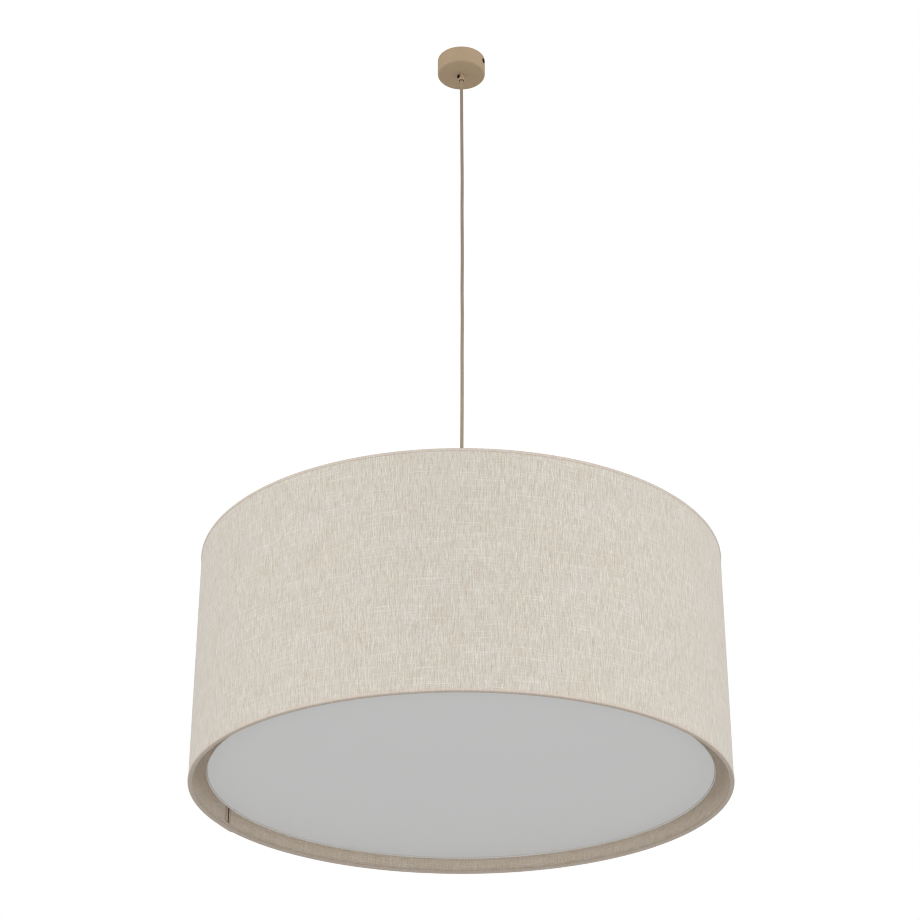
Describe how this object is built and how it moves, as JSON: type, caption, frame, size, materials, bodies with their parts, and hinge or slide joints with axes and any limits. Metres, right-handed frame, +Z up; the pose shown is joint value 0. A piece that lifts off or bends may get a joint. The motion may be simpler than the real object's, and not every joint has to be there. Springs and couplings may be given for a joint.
{
  "type": "drum pendant light",
  "caption": "Large straight fabric drum shade with a recessed round diffuser, hung by a textile cord from a small round ceiling canopy.",
  "frame": {"origin": "centre of the ceiling bracket's upper face, on the ceiling and on the lamp's axis", "axes": "+Z up towards the ceiling, +X to the viewer's right, -Y towards the viewer of the picture"},
  "size_m": [0.8018, 0.8018, 1.348],
  "materials": {
    "zinc_steel": "zinc-plated",
    "sand_paint": "matte sand powder coat",
    "black_screw": "blackened",
    "textile_cord": "beige braided textile over a PVC cable",
    "block_plastic": "moulded",
    "brown_core": "brown insulation",
    "blue_core": "blue insulation",
    "green_core": "green insulation",
    "white_plastic": "moulded",
    "white_lacquer": "white lacquer",
    "linen": "natural linen-look weave with vertical slubs",
    "liner": "stiff film with a woven taupe face",
    "holder_ceramic": "glazed",
    "brass": "bright",
    "opal": "satin opal",
    "band_plastic": "off-white strip",
    "magnet": "nickel-plated"
  },
  "bodies": {
    "ceiling_part": {"ceiling_bracket": "zinc_steel", "ceiling_canopy": "sand_paint", "cord_grip": "sand_paint", "grip_screw": "black_screw", "canopy_screw_right": "black_screw", "canopy_screw_left": "black_screw", "grip_nut": "zinc_steel", "cord_tail": "textile_cord", "terminal_block": "block_plastic", "earth_screw": "zinc_steel", "live_core": "brown_core", "neutral_core": "blue_core", "earth_core": "green_core"},
    "bending_cord": {"cord_bend": "textile_cord"},
    "hanging_cord": {"power_cord": "textile_cord"},
    "shade": {"hub_gland": "white_plastic", "gland_nut": "zinc_steel", "spider_hub": "white_lacquer", "top_ring": "white_lacquer", "bottom_ring": "white_lacquer", "top_trim": "linen", "bottom_trim": "linen", "shade_fabric": "linen", "shade_liner": "liner", "shade_seam": "liner", "lamp_housing": "white_lacquer", "housing_cover": "white_lacquer", "cover_screw": "zinc_steel", "spoke_1": "white_lacquer", "diffuser_post_1": "white_lacquer", "post_magnet_1": "magnet", "spoke_2": "white_lacquer", "diffuser_post_2": "white_lacquer", "post_magnet_2": "magnet", "spoke_3": "white_lacquer", "diffuser_post_3": "white_lacquer", "post_magnet_3": "magnet", "spoke_4": "white_lacquer", "diffuser_post_4": "white_lacquer", "post_magnet_4": "magnet", "holder_bolt_right": "zinc_steel", "lampholder_right": "holder_ceramic", "socket_sleeve_right": "brass", "socket_contact_right": "brass", "holder_bolt_back": "zinc_steel", "lampholder_back": "holder_ceramic", "socket_sleeve_back": "brass", "socket_contact_back": "brass", "holder_bolt_left": "zinc_steel", "lampholder_left": "holder_ceramic", "socket_sleeve_left": "brass", "socket_contact_left": "brass", "holder_bolt_front": "zinc_steel", "lampholder_front": "holder_ceramic", "socket_sleeve_front": "brass", "socket_contact_front": "brass"},
    "diffuser": {"diffuser_panel": "opal", "diffuser_band": "band_plastic", "keeper_ring": "zinc_steel"}
  },
  "joints": [
    {"name": "upper_swing", "type": "hinge", "parent": "ceiling_part", "child": "bending_cord", "pos_m": [0, 0, -0.0379], "axis": [1, 0, 0], "range_deg": [-10, 10]},
    {"name": "lower_swing", "type": "hinge", "parent": "bending_cord", "child": "hanging_cord", "pos_m": [0, 0, -0.0424], "axis": [0, 1, 0], "range_deg": [-10, 10]},
    {"name": "shade_turn", "type": "hinge", "parent": "hanging_cord", "child": "shade", "pos_m": [0, 0, -1.01], "axis": [0, 0, 1], "range_deg": [-180, 180]},
    {"name": "diffuser_pull", "type": "slide", "parent": "shade", "child": "diffuser", "axis": [0, 0, -1], "range_m": [0, 0.07]}
  ]
}
